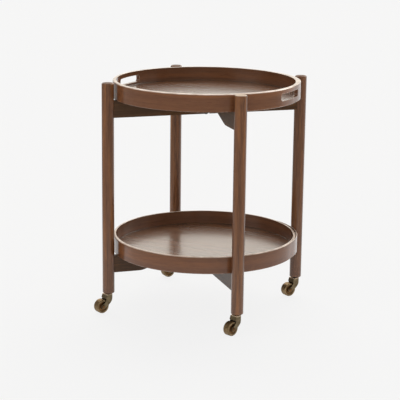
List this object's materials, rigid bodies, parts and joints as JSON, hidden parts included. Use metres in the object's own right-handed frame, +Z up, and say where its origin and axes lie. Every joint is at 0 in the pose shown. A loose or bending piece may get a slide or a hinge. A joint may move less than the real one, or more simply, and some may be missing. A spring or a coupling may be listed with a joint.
{
  "type": "folding tray table",
  "caption": "Folding serving table: crossed wooden frames on swivel casters carry a loose round tray at the top and another near the floor.",
  "frame": {"origin": "on the floor, on the upright pivot line round which the frames fold", "axes": "+Z up, along the legs; +X along the fixed frame's rails, towards its right leg; +Y towards the turning frame's back leg"},
  "size_m": [0.6137, 0.5975, 0.636],
  "materials": {
    "leg_wood": "satin lacquered walnut brown",
    "rail_wood": "satin lacquered dark walnut brown",
    "rim_wood": "satin lacquered walnut brown veneer",
    "floor_wood": "semi-gloss lacquered walnut veneer",
    "dowel_wood": "raw beech",
    "cast_brass": "dull antique cast brass",
    "wheel_brass": "dull turned brass",
    "axle_brass": "dull brass rivet",
    "socket_brass": "bright brass",
    "stem_steel": "plain steel",
    "pivot_steel": "brassed steel, dulled"
  },
  "bodies": {
    "frame_a": {"leg_left": "leg_wood", "leg_right": "leg_wood", "upper_rail_a": "rail_wood", "lower_rail_a": "rail_wood", "frame_a_dowels": "dowel_wood", "caster_left_socket": "socket_brass", "caster_right_socket": "socket_brass", "upper_pivot_bolt": "pivot_steel", "upper_pivot_nut": "pivot_steel", "lower_pivot_bolt": "pivot_steel", "lower_pivot_nut": "pivot_steel", "pivot_washers": "pivot_steel", "upper_lap_washer": "pivot_steel"},
    "frame_b": {"leg_front": "leg_wood", "leg_back": "leg_wood", "upper_rail_b": "rail_wood", "lower_rail_b": "rail_wood", "frame_b_dowels": "dowel_wood", "caster_front_socket": "socket_brass", "caster_back_socket": "socket_brass", "lower_lap_washer": "pivot_steel"},
    "upper_tray": {"upper_tray_rim": "rim_wood", "upper_tray_floor": "floor_wood"},
    "lower_tray": {"lower_tray_rim": "rim_wood", "lower_tray_floor": "floor_wood"},
    "caster_left": {"caster_left_horn": "cast_brass", "caster_left_stem": "stem_steel", "caster_left_axle": "axle_brass"},
    "wheel_left": {"caster_left_wheel": "wheel_brass"},
    "caster_right": {"caster_right_horn": "cast_brass", "caster_right_stem": "stem_steel", "caster_right_axle": "axle_brass"},
    "wheel_right": {"caster_right_wheel": "wheel_brass"},
    "caster_front": {"caster_front_horn": "cast_brass", "caster_front_stem": "stem_steel", "caster_front_axle": "axle_brass"},
    "wheel_front": {"caster_front_wheel": "wheel_brass"},
    "caster_back": {"caster_back_horn": "cast_brass", "caster_back_stem": "stem_steel", "caster_back_axle": "axle_brass"},
    "wheel_back": {"caster_back_wheel": "wheel_brass"}
  },
  "joints": [
    {"name": "fold", "type": "hinge", "parent": "frame_a", "child": "frame_b", "pos_m": [0, 0, 0], "axis": [0, 0, 1], "range_deg": [-71, 71]},
    {"name": "upper_tray_lift", "type": "slide", "parent": "frame_a", "child": "upper_tray", "axis": [0, 0, 1], "range_m": [0, 0.12]},
    {"name": "lower_tray_lift", "type": "slide", "parent": "frame_a", "child": "lower_tray", "axis": [0, 0, 1], "range_m": [0, 0.336]},
    {"name": "caster_left_swivel", "type": "hinge", "parent": "frame_a", "child": "caster_left", "pos_m": [-0.277, 0, 0.05], "axis": [0, 0, 1], "continuous": true},
    {"name": "wheel_left_spin", "type": "hinge", "parent": "caster_left", "child": "wheel_left", "pos_m": [-0.29969, -0.00781, 0.019], "axis": [0.3256, -0.9455, 0], "continuous": true},
    {"name": "caster_right_swivel", "type": "hinge", "parent": "frame_a", "child": "caster_right", "pos_m": [0.277, 0, 0.05], "axis": [0, 0, 1], "continuous": true},
    {"name": "wheel_right_spin", "type": "hinge", "parent": "caster_right", "child": "wheel_right", "pos_m": [0.25371, -0.00581, 0.019], "axis": [0.2419, -0.9703, 0], "continuous": true},
    {"name": "caster_front_swivel", "type": "hinge", "parent": "frame_b", "child": "caster_front", "pos_m": [0, -0.277, 0.05], "axis": [0, 0, 1], "continuous": true},
    {"name": "wheel_front_spin", "type": "hinge", "parent": "caster_front", "child": "wheel_front", "pos_m": [-0.02138, -0.2879, 0.019], "axis": [0.454, -0.891, 0], "continuous": true},
    {"name": "caster_back_swivel", "type": "hinge", "parent": "frame_b", "child": "caster_back", "pos_m": [0, 0.277, 0.05], "axis": [0, 0, 1], "continuous": true},
    {"name": "wheel_back_spin", "type": "hinge", "parent": "caster_back", "child": "wheel_back", "pos_m": [-0.02348, 0.27201, 0.019], "axis": [0.2079, -0.9781, 0], "continuous": true}
  ]
}
